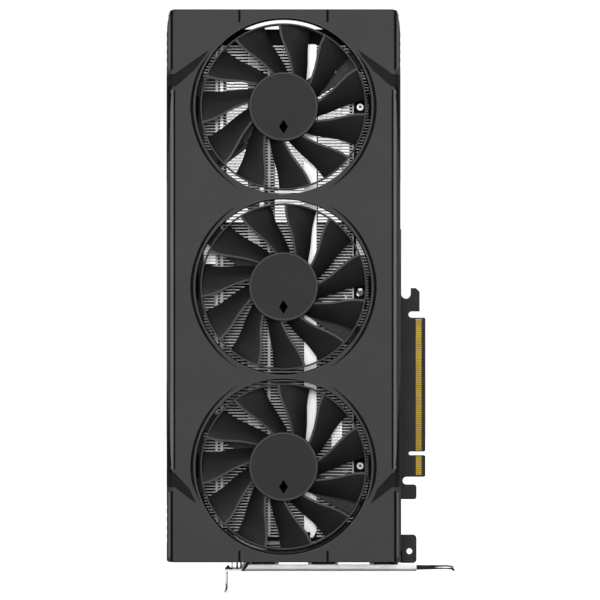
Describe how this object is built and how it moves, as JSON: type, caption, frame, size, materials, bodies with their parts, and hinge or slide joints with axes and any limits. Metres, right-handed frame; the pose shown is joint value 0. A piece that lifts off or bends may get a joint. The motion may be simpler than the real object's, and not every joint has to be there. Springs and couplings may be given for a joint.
{
  "type": "graphics card",
  "caption": "Black graphics card with a long cooler shroud, axial fans in a row, finned heatsink, short board with gold edge contacts, backplate and a two-slot metal bracket.",
  "frame": {"origin": "outer face of the slot bracket, in the plane of the board's component face, at the middle of the cooler's width", "axes": "+Z along the card's length, away from the bracket; the fans face -Y; +X towards the edge connector"},
  "size_m": [0.1516, 0.0506, 0.3069],
  "materials": {
    "shroud_black": "satin",
    "fan_black": "satin",
    "motor_grey": "matt",
    "copper": "enamelled copper",
    "magnet": "matt",
    "steel": "plated",
    "bronze": "sintered",
    "fin": "rolled",
    "nickel": "nickel plated",
    "rail_black": "satin black",
    "mask": "solder mask",
    "gold": "gold plated",
    "package": "laminate",
    "silicon": "polished",
    "chip": "matt",
    "choke": "matt",
    "socket_black": "matt",
    "backplate": "satin black",
    "bracket": "bright"
  },
  "bodies": {
    "card": {"shroud": "shroud_black", "spreader_bar": "nickel", "mount_rail": "rail_black", "crossbar": "rail_black", "gpu_package": "package", "gpu_die": "silicon", "power_socket": "socket_black", "cold_plate": "nickel", "memory_plate": "nickel", "backplate": "backplate", "gpu_bracket": "steel", "slot_bracket": "bracket", "displayport_1": "steel", "displayport_2": "steel", "hdmi": "steel", "fan_frame_top": "motor_grey", "motor_stator_top": "copper", "bearing_top": "bronze", "rail_screw_top": "steel", "fan_frame_middle": "motor_grey", "motor_stator_middle": "copper", "bearing_middle": "bronze", "rail_screw_middle": "steel", "fan_frame_bottom": "motor_grey", "motor_stator_bottom": "copper", "bearing_bottom": "bronze", "rail_screw_bottom": "steel", "pcb": "mask", "edge_contacts_short": "gold", "edge_contacts_long": "gold", "fins_a": "fin", "fins_b": "fin", "fins_c": "fin", "fins_d": "fin", "fins_e": "fin", "heat_pipe_1": "nickel", "heat_pipe_2": "nickel", "heat_pipe_3": "nickel", "memory_chip_1": "chip", "choke_1": "choke", "backplate_screw_1": "steel", "memory_chip_2": "chip", "choke_2": "choke", "backplate_screw_2": "steel", "memory_chip_3": "chip", "backplate_screw_3": "steel", "memory_chip_4": "chip", "backplate_screw_4": "steel", "end_brace": "steel", "bracket_screw_1": "steel", "bracket_screw_2": "steel"},
    "fan_top": {"impeller_top": "fan_black", "rotor_magnet_top": "magnet", "rotor_shaft_top": "steel"},
    "fan_middle": {"impeller_middle": "fan_black", "rotor_magnet_middle": "magnet", "rotor_shaft_middle": "steel"},
    "fan_bottom": {"impeller_bottom": "fan_black", "rotor_magnet_bottom": "magnet", "rotor_shaft_bottom": "steel"}
  },
  "joints": [
    {"name": "fan_top_spin", "type": "hinge", "parent": "card", "child": "fan_top", "pos_m": [0, -0.0381, 0.2446], "axis": [0, -1, 0], "continuous": true},
    {"name": "fan_middle_spin", "type": "hinge", "parent": "card", "child": "fan_middle", "pos_m": [0, -0.0381, 0.15], "axis": [0, -1, 0], "continuous": true},
    {"name": "fan_bottom_spin", "type": "hinge", "parent": "card", "child": "fan_bottom", "pos_m": [0, -0.0381, 0.0555], "axis": [0, -1, 0], "continuous": true}
  ]
}
